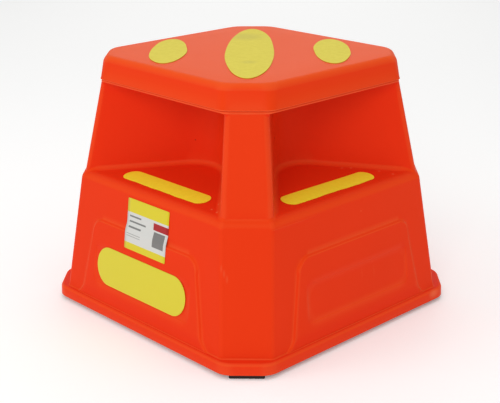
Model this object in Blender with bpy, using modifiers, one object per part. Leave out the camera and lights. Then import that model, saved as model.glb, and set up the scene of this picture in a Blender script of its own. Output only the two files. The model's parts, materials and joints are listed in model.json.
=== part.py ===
"""Safety step: a hollow moulded body with four treads around an X-shaped column,
a platform with grip ovals, grip strips on the treads, two stickers and four rubber feet.

Lengths are in metres, +Z is up, the floor is z = 0 and the axis of the step is x = y = 0.
The body has four wide faces and four narrow corner faces. A section is given by its flats,
the distance from the axis to the wide faces, and by the half width of its corner faces.
"""
import math

import bmesh
import bpy
from mathutils import Matrix, Vector

# Heights, from the floor up
foot_stand = 0.0065             # rim of the moulding above the floor
lip_height = 0.0190             # rim to the ledge on top of the lip
step_height = 0.2347            # floor to the sharp edge that the shoulder rounds off
recess_height = 0.1508          # that edge to the ceiling of the recess
header_height = 0.0045          # band between the ceiling and the platform
parting_height = 0.0011         # undercut below the platform's edge
cap_height = 0.0389             # platform's edge

# Wall of the moulding, and the gap between pieces that touch
wall = 0.0045
touch_gap = 0.0003

# Base and lip
base_flats = 0.2520
base_corner_half = 0.0395
lip_reach = 0.00905             # lip beyond the wide faces
lip_corner_half = 0.0376
lip_lean = 0.0008
lip_round = 0.0050
lip_upright_round = 0.0220
rim_round = 0.0012
ledge_fillet = 0.0022
wall_batter = 0.1206            # run inwards for each unit of rise
upright_round = 0.0105          # edges between the wide faces and the corner faces

# Shoulder and treads
tread_corner_half = 0.0385
tread_slope = 0.1076            # treads fall outwards, rise for each unit of run
shoulder_round = 0.0160

# Column and pillars
arm_foot_half = 0.0397
arm_top_half = 0.0332
arm_fillet = 0.0080
recess_round = 0.0670
pillar_round = 0.0090
pillar_setback = 0.0053         # corner faces of the pillars behind those of the base
pillar_batter = 0.2144
ceiling_fillet = 0.0050
ceiling_rise = 0.0010           # ceiling climbs this far from the column to the header
header_corner_half = 0.03435

# Platform
cap_overhang = 0.0027
cap_corner_overhang = 0.0012
cap_batter = 0.1400
cap_corner_batter = 0.1650
cap_round = 0.0130
cap_upright_round = 0.0240

# Raised panels on the four wide faces of the base
panel_rise = 0.0036
panel_foot_rise = 0.0024
panel_edge = 0.0046
panel_round = 0.0220
panel_top_margin = 0.0672       # step edge to the panel's top edge
panel_margin_top = 0.0490       # corner edge to the panel's side, at its top
panel_margin_low = 0.0410       # the same where the side starts to flare
panel_margin_foot = 0.0290
panel_flare_height = 0.0220

# Grip tape
tape_thickness = 0.0008
centre_grip_margin = 0.0235     # tip of the centre oval to the platform's rounded edge
centre_grip_half_width = 0.0400
centre_grip_shift = 0.0045
side_grip_half_length = 0.0985
side_grip_half_width = 0.0300
side_grip_offset = 0.1350
tread_grip_half_width = 0.0165
tread_grip_setback = 0.0368     # step edge to the strip's middle line
tread_grip_margin = 0.0330      # end of the strip to the column's wall
front_grip_shift = 0.0040
right_grip_shift = -0.0096

# Label and sticker
sticker_thickness = 0.0004
label_half_width = 0.0510
label_length = 0.0830
label_shift = 0.0070
label_top_margin = 0.0026       # below the start of the shoulder
oval_margin = 0.0310            # end of the oval to the side of its panel
oval_half_height = 0.0325
oval_drop = 0.0018
oval_place_share = 0.776        # of the free height from the ledge to the label, below the oval
oval_round_share = 0.92

# Rubber feet
foot_half_length = 0.0272
foot_depth = 0.0280
foot_inset = 0.0034             # front of a foot behind the rim's corner face
foot_plug_half_share = 0.92
foot_bevel = 0.0010

# Division of the surfaces
fillet_room_share = 0.4
apex_steps = 3
corner_steps = 3
shoulder_steps = 4
oval_steps = 48
face_shares = (0.0, 0.14, 0.28, 0.43, 0.57, 0.71, 0.85, 1.0)
panel_shares = (0.0, 0.2, 0.4, 0.6, 0.8)
arm_shares = (0.3, 0.6, 0.85, 1.0)
panel_corner_shares = (0.0, 0.35, 0.65, 0.85, 1.0)
ledge_rise_shares = (0.45, 0.8, 1.0)

# Derived sizes
root2 = math.sqrt(2)
ledge_height = foot_stand + lip_height
ceiling_height = step_height + recess_height
header_top = ceiling_height + header_height
cap_bottom = header_top + parting_height
platform_height = cap_bottom + cap_height
rim_flats = base_flats + lip_reach


def corner_distance(flats, corner_half):
    """Distance from the axis to the corner faces of a section."""
    return root2 * flats - corner_half


base_corners = corner_distance(base_flats, base_corner_half)
rim_corners = corner_distance(rim_flats, lip_corner_half)
edge_flats = base_flats - wall_batter * (step_height - ledge_height)
edge_corners = corner_distance(edge_flats, tread_corner_half)
corner_batter = (base_corners - edge_corners) / (step_height - ledge_height)
pillar_corners = edge_corners - pillar_setback


def pillar_face(height):
    """Distance from the axis to the outer face of the pillars at this height."""
    return pillar_corners - pillar_batter * (height - step_height)


header_corners = pillar_face(ceiling_height + ceiling_rise)
header_flats = (header_corners + header_corner_half) / root2
header_top_corners = pillar_face(header_top)
header_top_flats = (header_top_corners + header_corner_half) / root2
cap_flats = header_top_flats + cap_overhang
cap_edge_flats = cap_flats - cap_batter * cap_height
cap_corners = header_top_corners + cap_corner_overhang
cap_edge_corners = cap_corners - cap_corner_batter * cap_height


def lerp(start, end, share):
    return start + (end - start) * share


def arc_between(before, vertex, after, radius, steps):
    """Points along the arc of this radius that rounds the vertex of two straight lines."""
    towards = (before - vertex).normalized()
    onwards = (after - vertex).normalized()
    half_angle = towards.angle(onwards) / 2
    centre = vertex + (towards + onwards).normalized() * (radius / math.sin(half_angle))
    first = vertex + towards * (radius / math.tan(half_angle)) - centre
    sweep = math.pi - 2 * half_angle
    if towards.x * onwards.y - towards.y * onwards.x > 0:
        sweep = -sweep
    return [centre + Matrix.Rotation(sweep * step / steps, 2) @ first for step in range(steps + 1)]


def wall_distance(height, start, batter, skin):
    """Distance from the axis to a wall of the base, on its outer skin or skin deep in it."""
    return start - batter * (height - ledge_height) - skin * math.sqrt(1 + batter ** 2)


def wide_distance(height, skin):
    return wall_distance(height, base_flats, wall_batter, skin)


def narrow_distance(height, skin):
    return wall_distance(height, base_corners, corner_batter, skin)


class Shoulder:
    """Round shoulder between a wall of the base and the sloping tread, seen in section."""

    def __init__(self, edge, batter):
        vertex = Vector((edge, step_height))
        down = vertex + Vector((batter, -1))
        inwards = vertex + Vector((-1, tread_slope))
        arc = arc_between(down, vertex, inwards, shoulder_round, shoulder_steps)
        half_angle = (down - vertex).angle(inwards - vertex) / 2
        middle = (down - vertex).normalized() + (inwards - vertex).normalized()
        self.centre = vertex + middle.normalized() * (shoulder_round / math.sin(half_angle))
        self.rays = [point - self.centre for point in arc]

    def point(self, step, skin):
        return self.centre + self.rays[step] * ((shoulder_round - skin) / shoulder_round)

    def height(self, distance, skin):
        """Height of the tread or its shoulder at this distance from the axis."""
        radius = shoulder_round - skin
        inner_end = self.point(shoulder_steps, skin)
        if distance <= inner_end.x:
            return inner_end.y + tread_slope * (inner_end.x - distance)
        across = min(distance - self.centre.x, radius)
        return self.centre.y + math.sqrt(radius ** 2 - across ** 2)


wide_shoulder = Shoulder(edge_flats, wall_batter)
narrow_shoulder = Shoulder(edge_corners, corner_batter)


def tread_height(spot, skin):
    """Height of the upper side of the base over a point of one eighth of its plan."""
    wide = wide_shoulder.height(spot.x, skin)
    narrow = narrow_shoulder.height((spot.x + spot.y) / root2, skin)
    return min(wide, narrow)


def octagon_eighth(flats, corners, places=None, corner_round=upright_round):
    """One eighth of a square section with cut corners, from the middle of a wide face to
    the middle of a corner face. places are the columns along the wide face."""
    vertex = Vector((flats, root2 * corners - flats))
    along = Vector((flats, 0))
    middle = Vector((corners / root2, corners / root2))
    arc = arc_between(along, vertex, middle, corner_round, corner_steps)
    if places is None:
        places = [share * arc[0].y for share in face_shares[:-1]]
    return [Vector((flats, place)) for place in places] + arc + [middle]


def cross_eighth(arm_half, tip, apex_round, edge_round):
    """One eighth of the X-shaped section, from the bottom of a recess to the middle of a
    pillar's face, as pairs of a point and the direction that points out of the material."""
    centre = Vector(((arm_half + apex_round) * root2, 0))
    pairs = []
    for step in range(apex_steps + 1):
        angle = math.pi / 4 * step / apex_steps
        out = Vector((math.cos(angle), -math.sin(angle)))
        pairs.append((centre - out * apex_round, out))
    along = Vector((1, 1)) / root2
    side = Vector((1, -1)) / root2
    start = arm_half + apex_round
    end = tip - edge_round
    for share in arm_shares[:-1]:
        pairs.append((along * lerp(start, end, share) + side * arm_half, side))
    bend = along * end + side * (arm_half - edge_round)
    for step in range(corner_steps + 1):
        angle = math.pi / 2 * step / corner_steps
        out = side * math.cos(angle) + along * math.sin(angle)
        pairs.append((bend + out * edge_round, out))
    pairs.append((along * tip, along))
    return pairs


def with_heights(points, wide_height, narrow_height):
    """Columns of one eighth at the height of the wide face or of the corner face, and in
    between along the rounded upright."""
    first = len(points) - corner_steps - 2
    columns = []
    for index, point in enumerate(points):
        share = min(max((index - first) / corner_steps, 0), 1)
        columns.append(Vector((point.x, point.y, lerp(wide_height, narrow_height, share))))
    return columns


def section(wide, narrow, places=None, corner_round=upright_round):
    """Ring of an octagon whose wide and corner faces are at two points of their profiles."""
    return with_heights(octagon_eighth(wide.x, narrow.x, places, corner_round), wide.y, narrow.y)


def rounded_profile(vertices, rounds, steps):
    """Profile points through arcs at the inner vertices; the two end vertices only aim it."""
    points = []
    for index, radius in enumerate(rounds):
        before, vertex, after = vertices[index:index + 3]
        points += arc_between(before, vertex, after, radius, steps[index])
    return points


def lip_rings(skin):
    """Rings of the rim, the lip and its ledge."""
    rings = []
    top = ledge_height - skin
    profiles = []
    for rim, start, batter in ((rim_flats, base_flats, wall_batter),
                               (rim_corners, base_corners, corner_batter)):
        vertices = [Vector((rim - wall / 2, foot_stand)),
                    Vector((rim - skin, foot_stand)),
                    Vector((rim - lip_lean - skin, top)),
                    Vector((wall_distance(top, start, batter, skin), top)),
                    Vector((wall_distance(step_height, start, batter, skin), step_height))]
        rounds = (rim_round, abs(lip_round - skin), ledge_fillet + skin)
        profiles.append(rounded_profile(vertices, rounds, (1, 3, 2) if skin == 0 else (1, 1, 2)))
    pairs = list(zip(*profiles))
    before_ledge = len(pairs) - len(ledge_rise_shares)
    rings += [section(wide, narrow, corner_round=lip_upright_round) for wide, narrow in pairs[:before_ledge]]
    columns = panel_columns(panel_margin_foot, ledge_height)
    for (wide, narrow), share in zip(pairs[before_ledge:], ledge_rise_shares):
        rings.append(raised_section(wide, narrow, panel_foot_rise * share, *columns))
    return rings


def face_half_length(height):
    """Middle of a wide face to the sharp edge of its corner face, at this height."""
    return root2 * narrow_distance(height, 0) - wide_distance(height, 0)


def panel_columns(margin, height):
    """Places of a panel's crest and foot along its face."""
    foot = face_half_length(height) - margin
    return foot - panel_edge, foot


def raised_section(wide, narrow, rise, crest, foot):
    """Ring of an octagon where the panel between the crest columns stands out."""
    places = [crest * share for share in panel_shares] + [crest, foot]
    columns = section(wide, narrow, places)
    for point in columns[:len(panel_shares) + 1]:
        point.x += rise
    return columns


def panel_ring(height, skin, rise, crest, foot):
    """Ring of the base wall with its panel at this height."""
    return raised_section(Vector((wide_distance(height, skin), height)),
                          Vector((narrow_distance(height, skin), height)), rise, crest, foot)


panel_foot_top = step_height - panel_top_margin
panel_crest_top = panel_foot_top - panel_edge
panel_flare_top = ledge_height + panel_flare_height


def wall_rings(skin):
    """Rings of the base wall with its raised panels."""
    rings = [panel_ring(panel_flare_top, skin, panel_rise,
                        *panel_columns(panel_margin_low, panel_flare_top))]
    bend_height = panel_crest_top - panel_round
    bend_foot = face_half_length(bend_height) - panel_margin_top
    centre = bend_foot - panel_edge - panel_round
    outer = panel_round + panel_edge
    for share in panel_corner_shares:
        climb = panel_round * math.sin(share * math.pi / 2)
        crest = centre + panel_round * math.cos(share * math.pi / 2)
        foot = centre + math.sqrt(outer ** 2 - climb ** 2)
        rings.append(panel_ring(bend_height + climb, skin, panel_rise, crest, foot))
    rings.append(panel_ring(panel_foot_top, skin, 0, centre - panel_edge, centre))
    return rings


def inset_of(spot):
    """How far a point of the plan lies inside the foot of the shoulder."""
    return min(wide_shoulder.point(0, 0).x - spot.x,
               narrow_shoulder.point(0, 0).x - (spot.x + spot.y) / root2)


def foot_fillets(skin):
    """Radius of the fillet at the foot of the arms, place by place. It narrows where a
    pillar leaves little room on the shoulder."""
    growth = (arm_fillet + skin) / arm_fillet
    pairs = cross_eighth(arm_foot_half, pillar_corners, recess_round, pillar_round)
    return [min(arm_fillet, inset_of(point) * fillet_room_share) * growth for point, out in pairs]


def tread_rings(skin):
    """Rings of the shoulder, the treads and the fillet at the foot of the column."""
    edge = octagon_eighth(wide_shoulder.point(0, skin).x, narrow_shoulder.point(0, skin).x)
    edge_ring = section(wide_shoulder.point(0, skin), narrow_shoulder.point(0, skin))
    column = cross_eighth(arm_foot_half - skin, pillar_corners - skin,
                          recess_round + skin, pillar_round - skin)
    fillets = foot_fillets(skin)
    aims = [point + out * fillet for (point, out), fillet in zip(column, fillets)]
    rings = [edge_ring]
    start = wide_shoulder.point(0, skin).x
    for step in range(1, shoulder_steps + 1):
        nominal = start - wide_shoulder.point(step, skin).x
        ring = []
        for from_spot, to_spot in zip(edge, aims):
            room = inset_of(to_spot) - inset_of(from_spot)
            inset = min(nominal, room * step / (shoulder_steps + 1))
            spot = from_spot.lerp(to_spot, inset / room)
            ring.append(Vector((spot.x, spot.y, tread_height(spot, skin))))
        rings.append(ring)
    fillet_steps = 3 if skin == 0 else 2
    for step in range(fillet_steps + 1):
        angle = math.pi / 2 * step / fillet_steps
        ring = []
        for (point, out), fillet in zip(column, fillets):
            spot = point + out * (fillet * (1 - math.sin(angle)))
            climb = fillet * (1 - math.cos(angle))
            ring.append(Vector((spot.x, spot.y, tread_height(spot, skin) + climb)))
        rings.append(ring)
    return rings


def ceiling_rings(skin):
    """Rings of the top of the column, its fillet and the ceiling of the recesses."""
    rings = []
    fillet_steps = 2
    top = ceiling_height + skin
    for step in range(fillet_steps + 1):
        angle = math.pi / 2 * step / fillet_steps
        height = top - (ceiling_fillet + skin) * (1 - math.sin(angle))
        ring = []
        for point, out in cross_eighth(arm_top_half - skin, pillar_face(height) - skin,
                                       recess_round + skin, pillar_round - skin):
            room = min(header_flats - skin - point.x,
                       header_corners - skin - (point.x + point.y) / root2)
            reach = min(ceiling_fillet + skin, max(room, 0) * fillet_room_share)
            reach *= 1 - math.cos(angle)
            spot = point + out * reach
            ring.append(Vector((spot.x, spot.y, height)))
        rings.append(ring)
    return rings


def cap_rings(skin):
    """Rings of the header and the platform, up to the flat of the platform."""
    top = platform_height - skin
    low = ceiling_height + skin + ceiling_rise
    lead = cap_bottom if skin == 0 else cap_bottom + skin
    steps = (1, 4) if skin == 0 else (1, 3)
    profiles = []
    for header, header_end, start, edge in (
            (header_flats, header_top_flats, cap_flats, cap_edge_flats),
            (header_corners, header_top_corners, cap_corners, cap_edge_corners)):
        turn = Vector((header_end - skin, header_top))
        vertices = [turn if skin == 0 else Vector((header - skin, low)),
                    Vector((start - skin, lead)),
                    Vector((edge - skin, top)),
                    Vector((0, top))]
        beginning = [Vector((header - skin, low)), turn] if skin == 0 else vertices[:1]
        rounds = (rim_round, cap_round - skin)
        profiles.append(beginning + rounded_profile(vertices, rounds, steps))
    return [section(wide, narrow, corner_round=cap_upright_round) for wide, narrow in zip(*profiles)]


def skin_rings(skin):
    """Rings of the outer skin, or of the inner one, skin deep in the wall."""
    return (lip_rings(skin) + wall_rings(skin) + tread_rings(skin)
            + ceiling_rings(skin) + cap_rings(skin))


def full_ring(eighth):
    """The whole ring from its first eighth, by mirroring it and turning the quarter."""
    mirrored = [Vector((point.x, -point.y, point.z)) for point in reversed(eighth[1:])]
    quarter = mirrored + eighth[:-1]
    ring = []
    for turn in range(4):
        rotation = Matrix.Rotation(turn * math.pi / 2, 3, "Z")
        ring += [rotation @ point for point in quarter]
    return ring


def moulded_body():
    """The body: its inner skin from the top down, and its outer skin from the rim up."""
    chain = list(reversed(skin_rings(wall))) + skin_rings(0)
    mesh = bmesh.new()
    rings = [[mesh.verts.new(point) for point in full_ring(eighth)] for eighth in chain]
    for lower, upper in zip(rings, rings[1:]):
        for index in range(len(lower)):
            following = (index + 1) % len(lower)
            mesh.faces.new((lower[index], lower[following], upper[following], upper[index]))
    mesh.faces.new(list(reversed(rings[0])))
    mesh.faces.new(rings[-1])
    return add_object("moulded_body", mesh, plastic)


def material(name, colour, roughness):
    new = bpy.data.materials.new(name)
    new.use_nodes = True
    shader = new.node_tree.nodes["Principled BSDF"]
    shader.inputs["Base Color"].default_value = (*colour, 1)
    shader.inputs["Roughness"].default_value = roughness
    shader.inputs["Metallic"].default_value = 0
    new.diffuse_color = (*colour, 1)
    return new


def add_object(name, mesh, look, matrix=None):
    """An object of the part's collection from a bmesh, which this frees."""
    data = bpy.data.meshes.new(name)
    bmesh.ops.recalc_face_normals(mesh, faces=mesh.faces)
    mesh.to_mesh(data)
    mesh.free()
    data.shade_smooth()
    data.set_sharp_from_angle(angle=math.radians(32))
    data.materials.append(look)
    new = bpy.data.objects.new(name, data)
    if matrix is not None:
        new.matrix_world = matrix
    collection.objects.link(new)
    return new


def plate(name, outline, thickness, look, matrix):
    """A flat piece of this thickness on the matrix's XY plane, from a filled 2D curve."""
    curve = bpy.data.curves.new(name, "CURVE")
    curve.dimensions = "2D"
    curve.fill_mode = "BOTH"
    curve.extrude = thickness / 2
    spline = curve.splines.new("POLY")
    spline.points.add(len(outline) - 1)
    for point, place in zip(spline.points, outline):
        point.co = (place.x, place.y, 0, 1)
    spline.use_cyclic_u = True
    guide = bpy.data.objects.new(name + "_outline", curve)
    collection.objects.link(guide)
    bpy.context.view_layer.update()
    evaluated = guide.evaluated_get(bpy.context.evaluated_depsgraph_get())
    data = bpy.data.meshes.new_from_object(evaluated)
    bpy.data.objects.remove(guide)
    mesh = bmesh.new()
    mesh.from_mesh(data)
    bpy.data.meshes.remove(data)
    bmesh.ops.remove_doubles(mesh, verts=mesh.verts, dist=touch_gap / 10)
    bmesh.ops.translate(mesh, verts=mesh.verts, vec=(0, 0, thickness / 2))
    return add_object(name, mesh, look, matrix)


def ellipse_outline(half_length, half_width):
    angles = [2 * math.pi * step / oval_steps for step in range(oval_steps)]
    return [Vector((half_length * math.cos(angle), half_width * math.sin(angle))) for angle in angles]


def strip_outline(half_length, half_width, end_reach):
    """A straight strip whose ends are half ellipses that reach this far."""
    points = []
    for end in (1, -1):
        for step in range(oval_steps // 2 + 1):
            angle = math.pi * step / (oval_steps // 2) - math.pi / 2
            points.append(Vector((end * (half_length - end_reach + end_reach * math.cos(angle)),
                                  end * half_width * math.sin(angle))))
    return points


def platform_grips():
    """Three ovals of grip tape, all long in the direction of the front corner."""
    flat_corners = cap_edge_corners - cap_round * math.tan((math.pi / 2 - math.atan(cap_corner_batter)) / 2)
    sizes = {"platform_grip_centre": (flat_corners - centre_grip_margin, centre_grip_half_width,
                                      centre_grip_shift, 0),
             "platform_grip_right": (side_grip_half_length, side_grip_half_width, 0, side_grip_offset),
             "platform_grip_left": (side_grip_half_length, side_grip_half_width, 0, -side_grip_offset)}
    for name, (half_length, half_width, along, across) in sizes.items():
        matrix = (Matrix.Rotation(-math.pi / 4, 4, "Z")
                  @ Matrix.Translation((along, across, platform_height + touch_gap)))
        plate(name, ellipse_outline(half_length, half_width), tape_thickness, grip_tape, matrix)


def tread_grips():
    """One strip of grip tape on each tread, tilted with it."""
    middle = edge_flats - tread_grip_setback
    clear = middle - arm_foot_half * root2
    outline = strip_outline(clear - tread_grip_margin, tread_grip_half_width, tread_grip_half_width)
    height = wide_shoulder.height(middle, 0) + touch_gap
    tilt = Matrix.Rotation(math.atan(tread_slope), 4, "Y")
    lay = Matrix.Rotation(math.pi / 2, 4, "Z")
    shifts = {"right": right_grip_shift, "back": 0, "left": 0, "front": front_grip_shift}
    for turn, (side, shift) in enumerate(shifts.items()):
        matrix = (Matrix.Rotation(turn * math.pi / 2, 4, "Z")
                  @ Matrix.Translation((middle, shift, height)) @ tilt @ lay)
        plate("tread_grip_" + side, outline, tape_thickness, grip_tape, matrix)


label_top = wide_shoulder.point(0, 0).y - label_top_margin
label_bottom = label_top - label_length * math.cos(math.atan(wall_batter))


def side_oval():
    """Oval sticker on the front face's raised panel, between the ledge and the label."""
    half_rise = oval_half_height * math.cos(math.atan(wall_batter))
    free = label_bottom - ledge_height - 2 * half_rise
    middle = ledge_height + oval_place_share * free + half_rise - oval_drop
    share = (middle - panel_flare_top) / (panel_crest_top - panel_flare_top)
    margin = lerp(panel_margin_low, panel_margin_top, share) + oval_margin
    outline = strip_outline(face_half_length(middle) - margin, oval_half_height,
                            oval_half_height * oval_round_share)
    out = wide_distance(middle, 0) + panel_rise + touch_gap
    lean = Matrix.Rotation(math.pi / 2 - math.atan(wall_batter), 4, "X")
    matrix = Matrix.Translation((0, -out, middle)) @ lean
    plate("side_oval", outline, sticker_thickness, sticker_film, matrix)


def product_label():
    """Label on the front face. It bends over the top edge of the raised panel."""
    heights = [(label_top, 0), (panel_foot_top, 0), (panel_crest_top, panel_rise),
               (label_bottom, panel_rise)]
    mesh = bmesh.new()
    rows = []
    for height, rise in heights:
        out = wide_distance(height, 0) + rise + touch_gap
        rows.append([mesh.verts.new((label_shift + side * label_half_width, -out, height))
                     for side in (-1, 1)])
    for upper, lower in zip(rows, rows[1:]):
        mesh.faces.new((upper[0], lower[0], lower[1], upper[1]))
    label = add_object("product_label", mesh, label_paper)
    thicken = label.modifiers.new("thickness", "SOLIDIFY")
    thicken.thickness = sticker_thickness
    thicken.offset = 1
    thicken.use_even_offset = True


def rubber_feet():
    """Four rubber blocks: a pad under the rim's corner and a plug in the lip's channel."""
    front = rim_corners - foot_inset
    back = front - foot_depth
    pad_top = foot_stand - touch_gap
    plug_front = rim_corners - lip_lean - wall - touch_gap
    plug_back = narrow_distance(ledge_height - wall, wall) + touch_gap
    plug_top = ledge_height - wall - touch_gap
    pad = [Vector((back, 0)), Vector((front, 0)), Vector((front, pad_top)), Vector((back, pad_top))]
    plug = [Vector((plug_back, pad_top / 2)), Vector((plug_front, pad_top / 2)),
            Vector((plug_front, plug_top)), Vector((plug_back, plug_top))]
    upright = Matrix(((1, 0, 0, 0), (0, 0, -1, 0), (0, 1, 0, 0), (0, 0, 0, 1)))
    for turn, side in enumerate(("right", "back", "left", "front")):
        spin = Matrix.Rotation(math.pi / 4 + turn * math.pi / 2, 4, "Z")
        foot = plate("rubber_foot_" + side, pad, 2 * foot_half_length, rubber,
                     spin @ Matrix.Translation((0, foot_half_length, 0)) @ upright)
        plug_half = foot_half_length * foot_plug_half_share
        cutter = plate("plug_" + side, plug, 2 * plug_half, rubber,
                       spin @ Matrix.Translation((0, plug_half, 0)) @ upright)
        collection.objects.unlink(cutter)
        tools.objects.link(cutter)
        cutter.hide_render = True
        cutter.display_type = "WIRE"
        join = foot.modifiers.new("plug", "BOOLEAN")
        join.operation = "UNION"
        join.solver = "EXACT"
        join.object = cutter
        soften = foot.modifiers.new("edges", "BEVEL")
        soften.width = foot_bevel
        soften.segments = 2
        soften.limit_method = "ANGLE"
        soften.angle_limit = math.radians(40)


for old in list(bpy.data.objects):
    bpy.data.objects.remove(old)

collection = bpy.data.collections.new("safety_step")
bpy.context.scene.collection.children.link(collection)
tools = bpy.data.collections.new("cutters")
bpy.context.scene.collection.children.link(tools)

plastic = material("moulded_polyethylene", (0.80, 0.055, 0.022), 0.42)
grip_tape = material("yellow_grip_tape", (0.76, 0.56, 0.05), 0.85)
sticker_film = material("yellow_sticker_film", (0.72, 0.60, 0.05), 0.40)
label_paper = material("white_label_film", (0.78, 0.78, 0.76), 0.45)
rubber = material("black_rubber", (0.02, 0.015, 0.013), 0.80)

moulded_body()
platform_grips()
tread_grips()
product_label()
side_oval()
rubber_feet()
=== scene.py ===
import json
import math
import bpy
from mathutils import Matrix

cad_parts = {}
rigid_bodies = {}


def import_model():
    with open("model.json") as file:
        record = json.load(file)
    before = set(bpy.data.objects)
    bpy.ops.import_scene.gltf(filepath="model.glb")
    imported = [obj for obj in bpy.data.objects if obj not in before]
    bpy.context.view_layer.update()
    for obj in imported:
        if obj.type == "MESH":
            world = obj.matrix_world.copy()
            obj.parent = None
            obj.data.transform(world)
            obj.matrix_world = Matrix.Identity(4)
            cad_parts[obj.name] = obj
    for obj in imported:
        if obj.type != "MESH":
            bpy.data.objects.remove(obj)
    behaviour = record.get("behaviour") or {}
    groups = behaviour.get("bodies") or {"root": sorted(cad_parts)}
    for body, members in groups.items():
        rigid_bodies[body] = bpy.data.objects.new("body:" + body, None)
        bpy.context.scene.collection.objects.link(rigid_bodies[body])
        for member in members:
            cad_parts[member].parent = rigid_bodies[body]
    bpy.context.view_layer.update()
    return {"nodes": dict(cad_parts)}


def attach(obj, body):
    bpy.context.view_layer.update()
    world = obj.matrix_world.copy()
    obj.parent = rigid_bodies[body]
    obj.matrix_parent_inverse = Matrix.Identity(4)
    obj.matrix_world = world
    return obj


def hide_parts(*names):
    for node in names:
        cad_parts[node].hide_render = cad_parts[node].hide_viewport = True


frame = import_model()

from types import SimpleNamespace

import bpy
import numpy as np
from mathutils import Matrix, Vector

print("frame loaded with", len(frame["nodes"]), "nodes")

# Lengths are in millimetres, angles in degrees. +Z is up, -Y is the side with the label.
mm = 0.001
root2 = math.sqrt(2)


def lerp(start, end, share):
    # start + share * (end - start)
    return start + (end - start) * share


def smoothStep(value):
    # 3t^2 - 2t^3, with the value held between 0 and 1
    t = np.clip(value, 0, 1)
    return t * t * (3 - 2 * t)


def softMin(a, b, width):
    # the smaller of two lengths, less max(width - |a - b|, 0)^2 / (4 * width), which rounds their crossing
    return np.minimum(a, b) - np.maximum(width - np.abs(a - b), 0) ** 2 / (4 * width)


def unit(vector):
    return vector / np.linalg.norm(vector)


def turned(angle):
    # directions outwards, along and up after a turn about +Z, as rows for points @ rows
    across, along = math.cos(angle), math.sin(angle)
    return np.array([(across, along, 0), (-along, across, 0), (0, 0, 1)])


def roundedProfile(vertices, radii, counts):
    # straight lines with an arc at each inner vertex: centre = vertex + bisector * radius / sin(half angle),
    # swept through pi - 2 * half angle
    arcs = []
    for index, (radius, count) in enumerate(zip(radii, counts)):
        before, vertex, after = (np.array(point, float) for point in vertices[index:index + 3])
        towards = unit(before - vertex)
        onwards = unit(after - vertex)
        half = math.acos(np.clip(towards @ onwards, -1, 1)) / 2
        centre = vertex + unit(towards + onwards) * radius / math.sin(half)
        ray = vertex + towards * radius / math.tan(half) - centre
        turn = towards[1] * onwards[0] - towards[0] * onwards[1]
        angles = np.linspace(0, math.copysign(math.pi - 2 * half, turn), count + 1)[:, None]
        arcs.append(centre + ray * np.cos(angles) + np.array([-ray[1], ray[0]]) * np.sin(angles))
    return np.concatenate(arcs)


def addObject(name, data):
    thing = bpy.data.objects.new(name, data)
    bpy.context.scene.collection.objects.link(thing)
    return thing


def meshObject(name, points, faces):
    # points in millimetres, faces as rows of point numbers, quads and triangles in separate arrays
    mesh = bpy.data.meshes.new(name)
    corners = [face for block in faces for face in block.tolist()]
    mesh.from_pydata((points * mm).tolist(), [], corners)
    mesh.shade_smooth()
    piece = addObject(name, mesh)
    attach(piece, "root")
    return piece


def closedGrid(rings, firstPole, lastPole):
    # rings of one closed surface, each counterclockwise seen from the last pole, with a fan at both poles
    ringCount, columnCount, _ = rings.shape
    points = np.concatenate([rings.reshape(-1, 3), [firstPole, lastPole]])
    here = np.arange(columnCount)
    following = np.roll(here, -1)
    rows = np.arange(ringCount - 1)[:, None] * columnCount
    above = rows + columnCount
    quads = np.stack([rows + here, rows + following, above + following, above + here], -1)
    last = (ringCount - 1) * columnCount
    start = np.stack([np.full(columnCount, len(points) - 2), following, here], -1)
    end = np.stack([last + here, last + following, np.full(columnCount, len(points) - 1)], -1)
    return points, [quads.reshape(-1, 4), start, end]


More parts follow.
